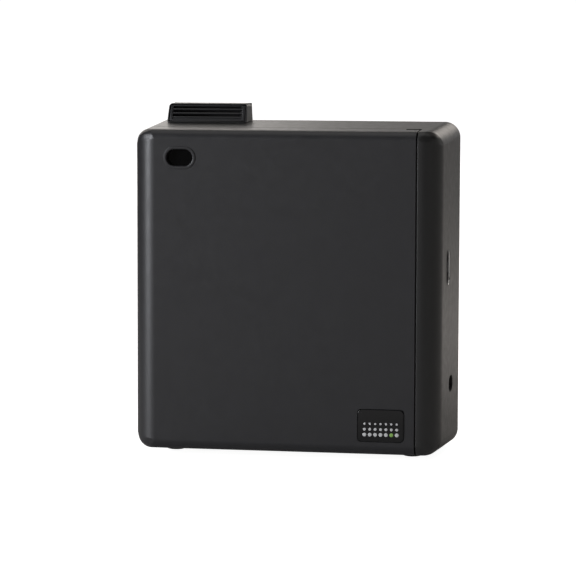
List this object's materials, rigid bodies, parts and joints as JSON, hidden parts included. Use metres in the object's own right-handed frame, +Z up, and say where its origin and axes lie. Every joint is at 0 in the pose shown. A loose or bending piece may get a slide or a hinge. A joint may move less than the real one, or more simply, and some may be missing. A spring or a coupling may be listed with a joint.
{
  "type": "air quality monitor",
  "caption": "Flat black box monitor with a hinged front cover, corner window, louvred air hood on top, and a slide lock and power inlet on the side.",
  "frame": {"origin": "middle of the footprint, on the surface that the feet stand on", "axes": "+Z up, the front cover faces -Y, the lock and power inlet are on the +X side"},
  "size_m": [0.23, 0.0926, 0.2543],
  "materials": {
    "case_black": "fine-textured satin black moulding",
    "cover_black": "fine-textured satin black moulding, slightly bluer than the case",
    "louvre_black": "matt black moulding",
    "window_smoke": "polished smoked window",
    "badge_black": "clear-coated glossy black badge",
    "bright_liner": "polished bright metal liner",
    "steel": "zinc-plated steel",
    "rubber": "soft black rubber",
    "inner_grey": "dark grey inner moulding",
    "board_green": "green solder mask",
    "shield_tin": "tin-plated pressed steel",
    "sensor_white": "off-white moulding",
    "cell_wrap": "blue shrink wrap",
    "terminal_green": "green terminal moulding",
    "foam": "open charcoal foam",
    "clear": "clear polished acrylic",
    "button_grey": "mid grey moulding",
    "lead_red": "red lead insulation",
    "lead_black": "black lead insulation"
  },
  "bodies": {
    "case": {"antenna": "sensor_white", "battery_cell_1": "cell_wrap", "battery_cell_2": "cell_wrap", "battery_tray": "inner_grey", "blower_housing": "louvre_black", "blower_lead": "lead_red", "board_screw_1": "steel", "board_screw_2": "steel", "board_screw_3": "steel", "board_screw_4": "steel", "climate_probe": "board_green", "co2_sensor": "sensor_white", "control_panel": "inner_grey", "dust_filter": "foam", "filter_cassette": "inner_grey", "foot_1": "rubber", "foot_2": "rubber", "foot_3": "rubber", "foot_4": "rubber", "gas_cell_1": "sensor_white", "gas_cell_2": "sensor_white", "gas_cell_3": "sensor_white", "hood_screw_1": "steel", "hood_screw_2": "steel", "inlet_duct": "inner_grey", "jack_lead": "lead_black", "light_pipe": "clear", "lock_bezel": "bright_liner", "lock_guide": "inner_grey", "lower_hinge_pin": "steel", "main_board": "board_green", "main_case": "case_black", "particle_sensor": "shield_tin", "power_jack": "louvre_black", "processor_can": "shield_tin", "rear_panel": "case_black", "rear_screw_1": "steel", "rear_screw_2": "steel", "rear_screw_3": "steel", "rear_screw_4": "steel", "sensor_lead": "lead_black", "sensor_tray": "inner_grey", "status_lamp": "board_green", "terminal_block": "terminal_green", "upper_hinge_pin": "steel", "vent_hood": "case_black", "vent_louvre": "louvre_black"},
    "cover": {"front_cover": "cover_black", "window_bezel": "cover_black", "window_lens": "window_smoke", "badge_plate": "badge_black", "cover_strike": "steel"},
    "lock": {"lock_slider": "louvre_black", "lock_bolt": "steel"},
    "rotor": {"blower_rotor": "inner_grey"},
    "power_key": {"power_button": "button_grey"},
    "test_key": {"test_button": "button_grey"}
  },
  "joints": [
    {"name": "cover_hinge", "type": "hinge", "parent": "case", "child": "cover", "pos_m": [-0.11259, -0.0197, 0.121], "axis": [0, 0, -1], "range_deg": [0, 110]},
    {"name": "lock_slide", "type": "slide", "parent": "case", "child": "lock", "axis": [0, 0, 1], "range_m": [0, 0.005]},
    {"name": "rotor_spin", "type": "hinge", "parent": "case", "child": "rotor", "pos_m": [-0.069, 0.027, 0.054], "axis": [0, 1, 0], "continuous": true},
    {"name": "power_press", "type": "slide", "parent": "case", "child": "power_key", "axis": [0, 1, 0], "range_m": [0, 0.0012], "stiffness_N_per_m": 400},
    {"name": "test_press", "type": "slide", "parent": "case", "child": "test_key", "axis": [0, 1, 0], "range_m": [0, 0.0012], "stiffness_N_per_m": 400}
  ]
}
